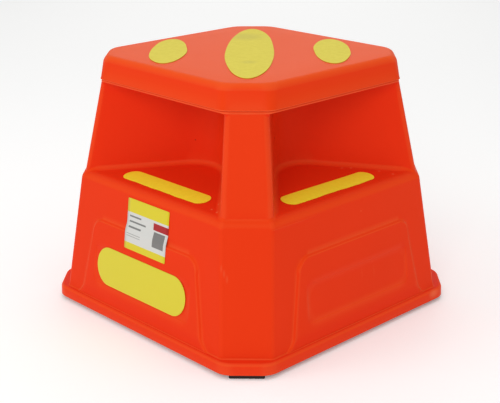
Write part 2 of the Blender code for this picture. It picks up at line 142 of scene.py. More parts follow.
# The moulded body: one surface of rings, from the middle of its inner skin down to the rim and up its outer
# skin. A section has four wide faces and four corner faces. Flats are the distance from the axis to wide faces.
body = SimpleNamespace(**{
    "footStand": 6.5, "lipHeight": 19.0, "stepHeight": 234.7, "recessHeight": 150.8, "headerHeight": 4.5,
    "partingHeight": 1.1, "capHeight": 38.9, "wall": 4.5,
    "baseFlats": 252.0, "baseCornerHalf": 39.5, "wallBatter": 0.1206, "uprightRound": 10.5,
    "crossingShare": 0.31,
    "lipReach": 9.05, "lipCornerHalf": 36.2, "lipLean": 0.8, "lipRound": 5.0, "rimRound": 1.2,
    "ledgeFillet": 2.2, "lipUprightRound": 32.0, "lipChannelRound": 22.0,
    "treadCornerHalf": 38.5, "treadSlope": 0.1076, "shoulderRound": 16.0,
    "armFootHalf": 39.7, "armTopHalf": 33.2, "armFillet": 8.0, "recessRound": 67.0, "pillarRound": 9.0,
    "pillarSetback": 5.3, "pillarBatter": 0.2144, "ceilingFillet": 5.0, "ceilingRise": 1.0,
    "filletRoomShare": 0.4, "headerCornerHalf": 34.35, "headerRound": 1.0, "headerCornerRound": 0.05,
    "capOverhang": 2.7, "capCornerOverhang": 1.2, "capBatter": 0.14, "capCornerBatter": 0.165, "capRound": 13.0,
    "capUprightRound": 20.0, "capTopUprightRound": 34.0,
    "grooveDepth": 1.5, "grooveRise": 0.5, "beadReach": 0.45, "beadHeight": 1.9,
    "panelRise": 3.6, "panelFootRise": 2.4, "panelEdge": 5.2, "panelRound": 22.0, "panelTopMargin": 67.2,
    "panelMarginTop": 49.0, "panelMarginLow": 41.0, "panelMarginFoot": 29.0, "panelFlareHeight": 22.0,
    "panelFlarePower": 2.2, "panelLedgeShare": 0.35,
    "stickerBedHalf": 119.0, "stickerBedLow": 58.5, "stickerBedHigh": 120.5, "stickerBedDepth": 0.7,
    "stickerBedEdge": 0.9, "stickerBedShift": 3.0, "stickerBedRound": 5.0,
    "stickerBedMargin": 14.0, "stickerBedFade": 10.0,
    "partingLineHeight": 220.4, "partingLineRise": 0.22, "partingLineWidth": 0.45,
    "partingLineStart": -178.0, "partingLineStartFade": 8.0, "partingLineEnd": -60.0,
    "partingLineEndFade": 60.0,
})
# columns of one eighth of a ring: on the wide face for sticker bed, its edge, panel, the panel's edge and wall,
# then on the corner's arc and on the corner face
columnCounts = SimpleNamespace(face=(13, 4, 4, 9, 7), arc=8, corner=6)
# rings of each skin: on the lip at its rim, top and ledge, on the tread over its shoulder, flat and fillet, on
# the ceiling's fillet, on the platform's lower and upper edge, on the header and between column and ceiling
outerCounts = SimpleNamespace(fine=True, lip=(4, 8, 5), tread=(12, 8, 8), ceiling=6, cap=(3, 9), header=3,
                              between=4)
innerCounts = SimpleNamespace(fine=False, lip=(1, 2, 3), tread=(4, 3, 4), ceiling=3, cap=(1, 4), header=0,
                              between=2)
# places of the last rings on the platform, as shares of the way from the axis to its edge
platformShares = (0.8, 0.5, 0.2)

ledgeHeight = body.footStand + body.lipHeight
ceilingHeight = body.stepHeight + body.recessHeight
headerTop = ceilingHeight + body.headerHeight
capBottom = headerTop + body.partingHeight
platformHeight = capBottom + body.capHeight
rimFlats = body.baseFlats + body.lipReach
wallRise = body.stepHeight - ledgeHeight


def cornerDistance(flats, cornerHalf):
    # distance from the axis to the corner faces: sqrt(2) * flats - half width of a corner face
    return root2 * flats - cornerHalf


baseCorners = cornerDistance(body.baseFlats, body.baseCornerHalf)
rimCorners = cornerDistance(rimFlats, body.lipCornerHalf)
edgeFlats = body.baseFlats - body.wallBatter * wallRise
edgeCorners = cornerDistance(edgeFlats, body.treadCornerHalf)
cornerBatter = (baseCorners - edgeCorners) / wallRise
pillarCorners = edgeCorners - body.pillarSetback


def pillarFace(height):
    return pillarCorners - body.pillarBatter * (height - body.stepHeight)


headerCorners = pillarFace(ceilingHeight + body.ceilingRise)
headerFlats = (headerCorners + body.headerCornerHalf) / root2
headerTopCorners = pillarFace(headerTop)
headerTopFlats = (headerTopCorners + body.headerCornerHalf) / root2
capFlats = headerTopFlats + body.capOverhang
capEdgeFlats = capFlats - body.capBatter * body.capHeight
capCorners = headerTopCorners + body.capCornerOverhang
capEdgeCorners = capCorners - body.capCornerBatter * body.capHeight


def wallDistance(height, start, batter, skin):
    # start - batter * rise above the ledge, less the skin's depth square to the wall
    return start - batter * (height - ledgeHeight) - skin * math.sqrt(1 + batter ** 2)


def wideDistance(height, skin):
    return wallDistance(height, body.baseFlats, body.wallBatter, skin)


def narrowDistance(height, skin):
    return wallDistance(height, baseCorners, cornerBatter, skin)


def shoulder(edge, batter, skin):
    # arc tangent to the wall and to the tread: centre = edge vertex - radius * (n0 + n1) / (1 + n0.n1)
    wallNormal = unit(np.array([1, batter]))
    treadNormal = unit(np.array([body.treadSlope, 1]))
    vertex = np.array([edge, body.stepHeight])
    centre = vertex - body.shoulderRound * (wallNormal + treadNormal) / (1 + wallNormal @ treadNormal)
    angles = (math.atan2(wallNormal[1], wallNormal[0]), math.atan2(treadNormal[1], treadNormal[0]))
    return SimpleNamespace(centre=centre, angles=angles, radius=body.shoulderRound - skin)


def shoulderPoint(arc, share):
    # point of the arc, from the top of the wall at 0 to the edge of the tread at 1
    angle = lerp(arc.angles[0], arc.angles[1], np.asarray(share))
    return arc.centre + arc.radius * np.stack([np.cos(angle), np.sin(angle)], -1)


def shoulderHeight(arc, distance):
    # sqrt(radius^2 - across^2) over the arc, and the slope of the tread behind it
    inner = shoulderPoint(arc, 1)
    across = np.clip(distance - arc.centre[0], -arc.radius, arc.radius)
    over = arc.centre[1] + np.sqrt(arc.radius ** 2 - across ** 2)
    return np.where(distance <= inner[0], inner[1] + body.treadSlope * (inner[0] - distance), over)


def shoulders(skin):
    # the arcs over a wide face and over a corner face
    return shoulder(edgeFlats, body.wallBatter, skin), shoulder(edgeCorners, cornerBatter, skin)


def insets(x, y, skin=0):
    # how far a spot of the plan lies inside the foot of the shoulder, behind a wide face and a corner face
    wide, narrow = (shoulderPoint(arc, 0)[0] for arc in shoulders(skin))
    return wide - x, narrow - (x + y) / root2


def treadHeight(x, y, skin):
    # height at the softened smaller inset, eased from the wide profile to the corner profile where they cross
    a, b = insets(x, y, skin)
    width = body.uprightRound * body.crossingShare
    inset = softMin(a, b, width)
    share = smoothStep(0.5 + (a - b) / (2 * width))
    wide, narrow = (shoulderHeight(arc, shoulderPoint(arc, 0)[0] - inset) for arc in shoulders(skin))
    return lerp(wide, narrow, share)


def spread(start, end, count):
    # evenly spaced columns from start up to, not including, end: start + (end - start) * k / count
    shares = np.arange(count) / count
    return lerp(np.asarray(start)[..., None], np.asarray(end)[..., None], shares)


def arcStart(height):
    # where the wide face ends and the rounded upright starts: sharp edge less radius * tan(22.5 degrees)
    sharp = root2 * narrowDistance(height, 0) - wideDistance(height, 0)
    return sharp - body.uprightRound * math.tan(math.pi / 8)


panelFootTop = body.stepHeight - body.panelTopMargin
panelCrestTop = panelFootTop - body.panelEdge
panelFlareTop = ledgeHeight + body.panelFlareHeight
panelBend = panelCrestTop - body.panelRound


def panelOutline(height):
    # half width of the panel's crest and foot: a flare ((1 - t)^power) at the ledge, a straight side, and at
    # the top two arcs of one centre, centre + sqrt(radius^2 - climb^2)
    low = np.minimum(height, panelBend)
    half = root2 * narrowDistance(low, 0) - wideDistance(low, 0)
    side = lerp(body.panelMarginLow, body.panelMarginTop, (low - panelFlareTop) / (panelBend - panelFlareTop))
    flare = np.clip(1 - (low - ledgeHeight) / body.panelFlareHeight, 0, 1) ** body.panelFlarePower
    foot = half - side + (body.panelMarginLow - body.panelMarginFoot) * flare
    centre = foot - body.panelEdge - body.panelRound
    climb = np.maximum(height - panelBend, 0)
    outer = body.panelRound + body.panelEdge
    crestArc = centre + np.sqrt(np.maximum(body.panelRound ** 2 - climb ** 2, 0))
    footArc = centre + np.sqrt(np.maximum(outer ** 2 - climb ** 2, 0))
    return crestArc, np.maximum(footArc, crestArc + body.panelEdge), centre


def panelRise(height, across):
    # rise * smooth step of how far a spot lies inside the foot, over the width of the panel's edge
    crest, _, centre = (value[:, None] for value in panelOutline(height))
    z = height[:, None]
    corner = np.hypot(np.maximum(across - centre, 0), np.maximum(z - panelBend, 0)) - body.panelRound
    outside = np.where(z > panelBend, corner, across - crest)
    rise = lerp(body.panelFootRise, body.panelRise, smoothStep((z - ledgeHeight) / body.panelFlareHeight))
    return rise * smoothStep(1 - outside / body.panelEdge)


def facePlaces(height):
    # columns along half a wide face, gathered at the sticker bed's edge and at the panel's edge
    crest, foot, _ = panelOutline(height)
    bed = np.minimum(body.stickerBedHalf, crest - 3 * body.stickerBedEdge)
    stops = [np.zeros_like(height), bed - body.stickerBedEdge, bed + body.stickerBedEdge, crest, foot,
             arcStart(height)]
    gathered = np.concatenate([spread(*part) for part in zip(stops, stops[1:], columnCounts.face)], 1)
    even = spread(stops[0], stops[-1], sum(columnCounts.face))
    above = smoothStep((height - panelFootTop) / (body.stepHeight - panelFootTop))[:, None]
    return lerp(gathered, even, above)


evenShares = np.arange(sum(columnCounts.face)) / sum(columnCounts.face)


def octagonRows(wide, narrow, places=None, radius=body.uprightRound):
    # one eighth of each section, from the middle of a wide face to the middle of a corner face, through an arc
    # of 45 degrees; wide and narrow are rows of (distance, height), and the height eases between them there
    flats, corners = wide[:, :1], narrow[:, :1]
    start = root2 * corners - flats - radius * math.tan(math.pi / 8)
    places = start * evenShares if places is None else places
    angles = np.linspace(0, math.pi / 4, columnCounts.arc + 1)
    arcX = flats + radius * (np.cos(angles) - 1)
    arcY = start + radius * np.sin(angles)
    shares = np.arange(1, columnCounts.corner + 1) / columnCounts.corner
    faceX = lerp(arcX[:, -1:], corners / root2, shares)
    faceY = lerp(arcY[:, -1:], corners / root2, shares)
    x = np.concatenate([flats + 0 * places, arcX, faceX], 1)
    y = np.concatenate([places, arcY, faceY], 1)
    onArc = np.linspace(0, 1, columnCounts.arc + 1)
    ease = np.concatenate([np.zeros(places.shape[1]), onArc, np.ones(len(shares))])
    return np.stack([x, y, lerp(wide[:, 1:], narrow[:, 1:], ease)], -1)


def crossRow(armHalf, tip, apexRound, edgeRound):
    # one eighth of the X-shaped section: an arc at the bottom of the recess, the arm's side at
    # x = y + sqrt(2) * half width, a rounded edge and the pillar's face at x + y = sqrt(2) * tip, as points and
    # the directions that point out of the material
    end = tip - edgeRound
    y = evenShares * (end - armHalf) / root2
    angle = np.arcsin(np.clip(y / apexRound, 0, 1 / root2))
    onArc = y < apexRound / root2
    arcX = (armHalf + apexRound) * root2 - apexRound * np.cos(angle)
    x = np.where(onArc, arcX, y + root2 * armHalf)
    side = np.array([1, -1]) / root2
    along = np.array([1, 1]) / root2
    sideOut = np.where(onArc[:, None], np.stack([np.cos(angle), -np.sin(angle)], -1), side)
    turn = np.linspace(0, math.pi / 2, columnCounts.arc + 1)[:, None]
    edgeOut = side * np.cos(turn) + along * np.sin(turn)
    bend = along * end + side * (armHalf - edgeRound)
    shares = np.arange(1, columnCounts.corner + 1)[:, None] / columnCounts.corner
    face = lerp(bend + along * edgeRound, along * tip, shares)
    points = np.concatenate([np.stack([x, y], -1), bend + edgeOut * edgeRound, face])
    return points, np.concatenate([sideOut, edgeOut, along + 0 * face])


def lipRows(skin, counts):
    # rim, lip and ledge: the same rounded profile in front of the wide faces and of the corner faces
    top = ledgeHeight - skin
    profiles = []
    for rim, start, batter in ((rimFlats, body.baseFlats, body.wallBatter),
                               (rimCorners, baseCorners, cornerBatter)):
        vertices = [(rim - body.wall / 2, body.footStand), (rim - skin, body.footStand),
                    (rim - body.lipLean - skin, top), (wallDistance(top, start, batter, skin), top),
                    (wallDistance(body.stepHeight, start, batter, skin), body.stepHeight)]
        radii = (body.rimRound, abs(body.lipRound - skin), body.ledgeFillet + skin)
        profiles.append(roundedProfile(vertices, radii, counts))
    wide, narrow = profiles
    heights = np.maximum(wide[:, 1], ledgeHeight)
    onLedge = np.arange(len(wide)) >= len(wide) - counts[2] - 1
    lipRadius = body.lipUprightRound if skin == 0 else body.lipChannelRound
    radius = np.where(onLedge, body.uprightRound, lipRadius)[:, None]
    start = root2 * narrow[:, :1] - wide[:, :1] - radius * math.tan(math.pi / 8)
    squeeze = np.where(onLedge[:, None], 1, start / arcStart(heights)[:, None])
    rows = octagonRows(wide, narrow, facePlaces(heights) * squeeze, radius)
    share = np.zeros(len(wide))
    share[onLedge] = np.linspace(body.panelLedgeShare, 1, counts[2] + 1)
    faceCount = evenShares.size
    rows[:, :faceCount, 0] += share[:, None] * panelRise(heights, rows[:, :faceCount, 1])
    return rows


def wallHeights(fine):
    # heights of the wall's rings, gathered where the sticker bed, the panel's corners and its top edge are,
    # with one ring alone a share of the way between the bed and the panel's bend
    bedLow, bedHigh, edge = body.stickerBedLow, body.stickerBedHigh, body.stickerBedEdge
    parting = body.partingLineHeight
    firstRise, aloneShare = 1, 0.55
    foot = ledgeHeight + body.ledgeFillet + firstRise
    bends = panelBend + body.panelRound * np.sin(np.linspace(0, math.pi / 2, 13 if fine else 4))
    if not fine:
        return np.concatenate([[panelFlareTop], bends, [panelFootTop, panelFootTop + body.panelEdge]])
    return np.concatenate([np.linspace(foot, panelFlareTop, 8), np.linspace(bedLow - edge, bedLow + edge, 5),
                           np.linspace(bedLow, bedHigh, 7)[1:-1],
                           np.linspace(bedHigh - edge, bedHigh + edge, 5),
                           [lerp(bedHigh, panelBend, aloneShare)], bends,
                           np.linspace(panelCrestTop, panelFootTop, 7)[1:],
                           np.linspace(panelFootTop, parting, 8)[1:-1],
                           parting + body.partingLineWidth * np.linspace(-2, 2, 7)])


def wallRows(skin, fine):
    heights = wallHeights(fine)
    wide = np.stack([wideDistance(heights, skin), heights], -1)
    narrow = np.stack([narrowDistance(heights, skin), heights], -1)
    rows = octagonRows(wide, narrow, facePlaces(heights))
    faceCount = evenShares.size
    rows[:, :faceCount, 0] += panelRise(heights, rows[:, :faceCount, 1])
    return rows


def footRadii():
    # the fillet at the foot of the arms, narrowed to a share of the room that a pillar leaves on the shoulder
    points, _ = crossRow(body.armFootHalf, pillarCorners, body.recessRound, body.pillarRound)
    room = np.minimum(*insets(points[:, 0], points[:, 1])) * body.filletRoomShare
    return np.minimum(body.armFillet, room)


def treadRows(skin, arcCount, flatCount, filletCount):
    # shoulder, tread and fillet: each column of points runs straight in plan from the wall's top to the fillet
    wide, narrow = shoulders(skin)
    edge = octagonRows(shoulderPoint(wide, 0)[None], shoulderPoint(narrow, 0)[None])[0]
    points, out = crossRow(body.armFootHalf - skin, pillarCorners - skin, body.recessRound + skin,
                           body.pillarRound - skin)
    radii = footRadii() * (body.armFillet + skin) / body.armFillet
    aims = points + out * radii[:, None]
    room = np.minimum(*insets(aims[:, 0], aims[:, 1])) - np.minimum(*insets(edge[:, 0], edge[:, 1]))
    arc = shoulderPoint(wide, np.arange(arcCount + 1) / arcCount)
    nominal = (arc[0, 0] - arc[1:, 0])[:, None]
    limit = np.arange(1, arcCount + 1)[:, None] / (arcCount + flatCount + 1)
    arcShares = np.minimum(nominal / room, limit)
    flatShares = lerp(arcShares[-1], 1, (np.arange(1, flatCount + 1) / (flatCount + 1))[:, None])
    shares = np.concatenate([arcShares, flatShares])[..., None]
    spots = lerp(edge[:, :2], aims, shares)
    angles = np.linspace(0, math.pi / 2, filletCount + 1)[:, None]
    filletSpots = points + out * (radii * (1 - np.sin(angles)))[..., None]
    spots = np.concatenate([spots, filletSpots])
    heights = treadHeight(spots[..., 0], spots[..., 1], skin)
    heights[-filletCount - 1:] += radii * (1 - np.cos(angles))
    return np.concatenate([edge[None], np.concatenate([spots, heights[..., None]], -1)])


def ceilingRows(skin, filletCount):
    # top of the column and the fillet that turns it into the ceiling, no wider than a share of the room there
    top = ceilingHeight + skin
    rows = []
    for angle in np.linspace(0, math.pi / 2, filletCount + 1):
        height = top - (body.ceilingFillet + skin) * (1 - math.sin(angle))
        points, out = crossRow(body.armTopHalf - skin, pillarFace(height) - skin, body.recessRound + skin,
                               body.pillarRound - skin)
        room = np.minimum(headerFlats - skin - points[:, 0], headerCorners - skin - points.sum(1) / root2)
        reach = np.minimum(body.ceilingFillet + skin, np.maximum(room, 0) * body.filletRoomShare)
        spots = points + out * (reach * (1 - math.cos(angle)))[:, None]
        rows.append(np.column_stack([spots, np.full(len(spots), height)]))
    return np.array(rows)


def capRows(skin, counts, lowRings):
    # header, undercut and edge of the platform, then its flat, drawn in towards the axis
    top = platformHeight - skin
    low = ceilingHeight + skin + body.ceilingRise
    lead = capBottom + skin
    profiles = []
    for header, headerEnd, start, edge, lowRound in (
            (headerFlats, headerTopFlats, capFlats, capEdgeFlats, body.headerRound),
            (headerCorners, headerTopCorners, capCorners, capEdgeCorners, body.headerCornerRound)):
        end = [(start - skin, lead), (edge - skin, top), (0, top)]
        if skin == 0:
            turn = (headerEnd, headerTop - body.grooveRise)
            bottom = roundedProfile([(0, low), (header, low), turn], [lowRound], [lowRings])
            inner = headerEnd - body.grooveDepth
            bead = start + body.beadReach
            groove = [turn, (inner, headerTop), (inner, capBottom - body.grooveRise), (start, capBottom),
                      (bead, capBottom + body.beadHeight / 4), (bead, capBottom + body.beadHeight / 2),
                      (lerp(start, edge, body.beadHeight / body.capHeight), capBottom + body.beadHeight)]
            profiles.append(np.concatenate([bottom, groove, roundedProfile(end, (body.capRound,), counts[1:])]))
        else:
            first = (header - skin, low)
            radii = (body.rimRound, body.capRound - skin)
            profiles.append(np.concatenate([[first], roundedProfile([first] + end, radii, counts)]))
    # the rounded uprights of the platform widen towards its top
    climb = smoothStep((profiles[0][:, 1] - capBottom) / body.capHeight)[:, None]
    return octagonRows(*profiles, radius=lerp(body.capUprightRound, body.capTopUprightRound, climb))


def between(first, last, count):
    # count rings in between two rings, each point on a straight line
    shares = (np.arange(1, count + 1) / (count + 1))[:, None, None]
    return lerp(first, last, shares)


def skinRows(skin, counts):
    # all rings of one skin, from the rim up, for one eighth of the plan
    lip, wall, tread = lipRows(skin, counts.lip), wallRows(skin, counts.fine), treadRows(skin, *counts.tread)
    ceiling, cap = ceilingRows(skin, counts.ceiling), capRows(skin, counts.cap, counts.header)
    top = cap[-1]
    flat = top * np.array([1, 1, 0]) * np.array(platformShares)[:, None, None] + top * np.array([0, 0, 1])
    return np.concatenate([lip, wall, tread, between(tread[-1], ceiling[0], 2 * counts.between), ceiling,
                           between(ceiling[-1], cap[0], counts.between), cap, flat])


def stickerBed(x, y, z, shift):
    # a shallow rectangle with round corners, sunk by depth * smooth step of the distance inside its outline
    halfHeight = (body.stickerBedHigh - body.stickerBedLow) / 2
    middle = (body.stickerBedHigh + body.stickerBedLow) / 2
    radius = body.stickerBedRound
    overY = np.abs(y - shift) - body.stickerBedHalf + radius
    overZ = np.abs(z - middle) - halfHeight + radius
    within = np.minimum(np.maximum(overY, overZ), 0)
    outside = np.hypot(np.maximum(overY, 0), np.maximum(overZ, 0)) + within - radius
    return -body.stickerBedDepth * smoothStep(0.5 - outside / (2 * body.stickerBedEdge)) * (x > 0)


def wholeRings(eighth, onWall, shifts):
    # four quarters, each the eighth and its mirror image, with the marks of its own wide face, turned in steps
    # of 90 degrees
    mirrored = eighth[:, :0:-1] * np.array([1, -1, 1])
    quarter = np.concatenate([mirrored, eighth[:, :-1]], 1)
    x, y, z = quarter[..., 0], quarter[..., 1], quarter[..., 2]
    quarters = []
    room = body.stickerBedHalf + body.stickerBedMargin
    for turn, shift in enumerate(shifts):
        face = quarter.copy()
        if onWall.any():
            inner = smoothStep((room - np.abs(y)) / body.stickerBedFade) * onWall[:, None]
            face[..., 1] += shift * inner
            face[..., 0] += stickerBed(x, face[..., 1], z, shift) * inner
            if turn == 0:
                line = np.exp(-((z - body.partingLineHeight) / body.partingLineWidth) ** 2)
                start = smoothStep((y - body.partingLineStart) / body.partingLineStartFade)
                end = smoothStep((body.partingLineEnd - y) / body.partingLineEndFade)
                face[..., 0] += body.partingLineRise * line * start * end * onWall[:, None]
        quarters.append(face @ turned(turn * math.pi / 2))
    return np.concatenate(quarters, 1)


def mouldedBody():
    inner, outer = skinRows(body.wall, innerCounts), skinRows(0, outerCounts)
    wallCount = len(wallHeights(outerCounts.fine))
    lipCount = len(lipRows(0, outerCounts.lip))
    onWall = np.zeros(len(outer), bool)
    onWall[lipCount:lipCount + wallCount] = True
    noShift = (0, 0, 0, 0)
    shifts = (body.stickerBedShift, 0, 0, 0)
    rings = np.concatenate([wholeRings(inner, onWall[:0], noShift)[::-1], wholeRings(outer, onWall, shifts)])
    points, faces = closedGrid(rings, (0, 0, platformHeight - body.wall), (0, 0, platformHeight))
    piece = meshObject("step_body", points, faces)
    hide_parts("moulded_body")
    print("body:", len(points), "points,", sum(len(block) for block in faces), "faces")
    return piece


# Tape, label and sticker: thin films on the moulding, with the CAD's gap of 0.3 mm in place of their adhesive
film = SimpleNamespace(gap=0.3, tape=0.8, paper=0.4, tapeBevel=0.12, paperBevel=0.05, bendShare=0.3,
                       endShare=0.4)


def plateRings(outline, thickness, bevel):
    # rings of a flat plate: outline less its outward normal * inset, drawn to the middle by a scale, at a level
    tangent = np.roll(outline, -1, 0) - np.roll(outline, 1, 0)
    normal = np.stack([tangent[:, 1], -tangent[:, 0]], -1) / np.linalg.norm(tangent, axis=1)[:, None]
    middle = outline.mean(0)
    bend = bevel * film.bendShare
    steps = [(0.4, 0, 0), (0.8, 0, 0), (1, 0, 0), (1, 0, thickness - bevel), (1, bend, thickness - bend),
             (1, bevel, thickness), (0.98, bevel, thickness), (0.8, bevel, thickness), (0.4, bevel, thickness)]
    rings = []
    for scale, inset, level in steps:
        ring = middle + (outline - normal * inset - middle) * scale
        rings.append(np.column_stack([ring, np.full(len(ring), level)]))
    return np.array(rings), (*middle, 0), (*middle, thickness)


def plate(name, outline, thickness, bevel, origin, axes):
    # a flat plate, with each point at origin + a * axis0 + b * axis1 + c * axis2
    points, faces = closedGrid(*plateRings(outline, thickness, bevel))
    return meshObject(name, origin + points @ np.array(axes), faces)


def wobble(outline, waves):
    # hand-cut edge: each point moved by the sum of amplitude * sin(count * angle + phase), times
    # (end share * cos(angle), sin(angle))
    angle = np.arctan2(outline[:, 1] / outline[:, 1].max(), outline[:, 0] / outline[:, 0].max())
    shift = sum(size * np.sin(count * angle + phase) for size, count, phase in waves)
    return outline + np.stack([film.endShare * shift * np.cos(angle), shift * np.sin(angle)], -1)


def ovalOutline(values):
    # ellipse with half width * (1 + egg * cos(angle))
    angle = np.linspace(0, 2 * math.pi, 128, endpoint=False)
    a = values["length"] / 2 * np.cos(angle)
    b = values["width"] / 2 * np.sin(angle) * (1 + values["egg"] * np.cos(angle))
    return wobble(np.stack([a, b], -1), values["waves"])


def stripOutline(values):
    # two straight sides and two ends, each half an ellipse of the reach given, counterclockwise, then bent by
    # bow * (t^3 - t), with the lower side hand-cut in waves
    low, high = values["ends"]
    half, reach = values["width"] / 2, values["reach"]
    turn = np.linspace(-math.pi / 2, math.pi / 2, 25)
    right = np.stack([high - reach + reach * np.cos(turn), half * np.sin(turn)], -1)
    left = np.stack([low + reach - reach * np.cos(turn), -half * np.sin(turn)], -1)
    side = np.linspace(high - reach, low + reach, 42)[1:-1]
    top = np.stack([side, np.full(len(side), half)], -1)
    bottom = np.stack([side[::-1], np.full(len(side), -half)], -1)
    outline = np.concatenate([right, top, left, bottom])
    middle = (low + high) / 2
    across = (outline[:, 0] - middle) / (high - low) * 2
    shift = values["bow"] * (across ** 3 - across)
    edge = sum(size * np.sin(math.pi * count * across + phase) for size, count, phase in values["waves"])
    outline[:, 1] += shift + edge * (outline[:, 1] < 0) * (1 - across ** 4)
    return outline


tapeValues = {
    "platform_grip_centre": {"length": 399, "width": 80, "egg": 0.03, "at": (4.5, 0),
                             "waves": [(0.5, 3, 0.4), (0.35, 5, 1.9), (0.2, 9, 0.7)]},
    "platform_grip_right": {"length": 197, "width": 60, "egg": -0.02, "at": (0, 135),
                            "waves": [(0.5, 3, 2.1), (0.3, 6, 0.3), (0.2, 10, 1.1)]},
    "platform_grip_left": {"length": 197, "width": 60, "egg": 0.03, "at": (0, -135),
                           "waves": [(0.6, 3, 3.9), (0.45, 5, 0.9), (0.25, 8, 2.4)]},
}
stripValues = {
    "tread_grip_front": {"turn": 270, "ends": (-96, 103.5), "out": 190.5, "width": 33, "reach": 16, "bow": 0.4,
                         "waves": [(0.45, 3, 0.4), (0.25, 7, 1.3)]},
    "tread_grip_right": {"turn": 0, "ends": (-111, 91.6), "out": 189, "width": 33.5, "reach": 15, "bow": 1.6,
                         "waves": [(0.6, 2, 2.0), (0.3, 6, 0.2)]},
    "tread_grip_back": {"turn": 90, "ends": (-100.8, 100.8), "out": 190, "width": 33, "reach": 16, "bow": -0.7,
                        "waves": [(0.5, 3, 2.6), (0.25, 6, 0.8)]},
    "tread_grip_left": {"turn": 180, "ends": (-100.8, 100.8), "out": 190, "width": 33, "reach": 16, "bow": 0.8,
                        "waves": [(0.45, 2, 1.1), (0.25, 7, 2.9)]},
}


def gripTapes():
    sheets = []
    for node, values in tapeValues.items():
        axes = turned(-math.pi / 4)
        origin = np.array([*values["at"], platformHeight + film.gap]) @ axes
        sheets.append((node, ovalOutline(values), origin, axes))
    fall = math.atan(body.treadSlope)
    arc, _ = shoulders(0)
    for node, values in stripValues.items():
        out, along, up = turned(math.radians(values["turn"]))
        normal = out * math.sin(fall) + up * math.cos(fall)
        origin = out * values["out"] + up * shoulderHeight(arc, values["out"]) + normal * film.gap
        sheets.append((node, stripOutline(values), origin, (along, np.cross(normal, along), normal)))
    pieces = []
    for node, outline, origin, axes in sheets:
        piece = plate(node.replace("grip", "tape"), outline, film.tape, film.tapeBevel, origin, axes)
        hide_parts(node)
        pieces.append(piece)
    print("grip tapes:", len(pieces))
    return pieces


labelValues = {"x": (-44, 58), "z": (137.0, 219.4), "round": 2.0, "liftFrom": 183.0, "liftOver": 20.0}


def productLabel():
    # a film that follows the wall and the panel's top edge: rings of (outer side, inner side) from its foot up
    low, high = labelValues["z"]
    left, right = labelValues["x"]
    radius = labelValues["round"]
    ease = (1 - np.cos(np.linspace(0, math.pi / 2, 7))) * radius
    straight = np.linspace(low + radius, high - radius, 90)[1:-1]
    heights = np.concatenate([low + ease, straight, (high - ease)[::-1]])
    near = np.minimum(np.minimum(heights - low, high - heights), radius)
    half = (right - left) / 2 - radius + np.sqrt(np.maximum(radius ** 2 - (radius - near) ** 2, 0))
    x = (left + right) / 2 + half[:, None] * np.linspace(-1, 1, 15)
    # it bridges the panel's top edge: wall + panel's rise * smooth step below the height where it lifts off
    lift = body.panelRise * smoothStep((labelValues["liftFrom"] - heights) / labelValues["liftOver"])
    out = (wideDistance(heights, 0) + film.gap + lift)[:, None] + 0 * x
    z = heights[:, None] + 0 * x
    outer = np.stack([x, -out - film.paper, z], -1)
    inner = np.stack([x, -out, z], -1)[:, ::-1]
    rings = np.concatenate([outer, inner], 1)
    points, faces = closedGrid(rings, rings[0].mean(0), rings[-1].mean(0))
    piece = meshObject("label_film", points, faces)
    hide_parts("product_label")
    return piece


stickerValues = {"ends": (-112, 112), "height": 92.6, "width": 65, "reach": 30.5, "bow": 0, "waves": []}


def ovalSticker():
    lean = math.atan(body.wallBatter)
    height = stickerValues["height"]
    out = wideDistance(height, 0) + body.panelRise
    normal = np.array([0, -math.cos(lean), math.sin(lean)])
    origin = np.array([0, -out, height]) + normal * film.gap
    axes = np.array([(1, 0, 0), (0, math.sin(lean), math.cos(lean)), normal])
    piece = plate("oval_film", stripOutline(stickerValues), film.paper, film.paperBevel, origin, axes)
    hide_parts("side_oval")
    return piece


# Rubber feet: a pad under the rim's corner and a plug in the lip's channel
footValues = {
    "half": 27.2, "depth": 28.0, "inset": 3.4, "plugHalf": 25.0, "gap": 0.3, "round": 2.2, "bevel": 1.0,
    "bevelBend": (0.3, 0.35), "topBevel": 0.9, "topBevelBend": (0.25, 0.3), "plugBevel": 0.8,
}


def roundedRectangle(halfWidth, back, front, radius, count):
    # four corner arcs, centre + radius * (cos, sin), counterclockwise in (distance outwards, place along face)
    angles = np.linspace(0, math.pi / 2, count)
    corners = [(front - radius, halfWidth - radius), (back + radius, halfWidth - radius),
               (back + radius, radius - halfWidth), (front - radius, radius - halfWidth)]
    arcs = []
    for k, corner in enumerate(corners):
        turn = angles + k * math.pi / 2
        arcs.append(np.array(corner) + radius * np.stack([np.cos(turn), np.sin(turn)], -1))
    return np.concatenate(arcs)


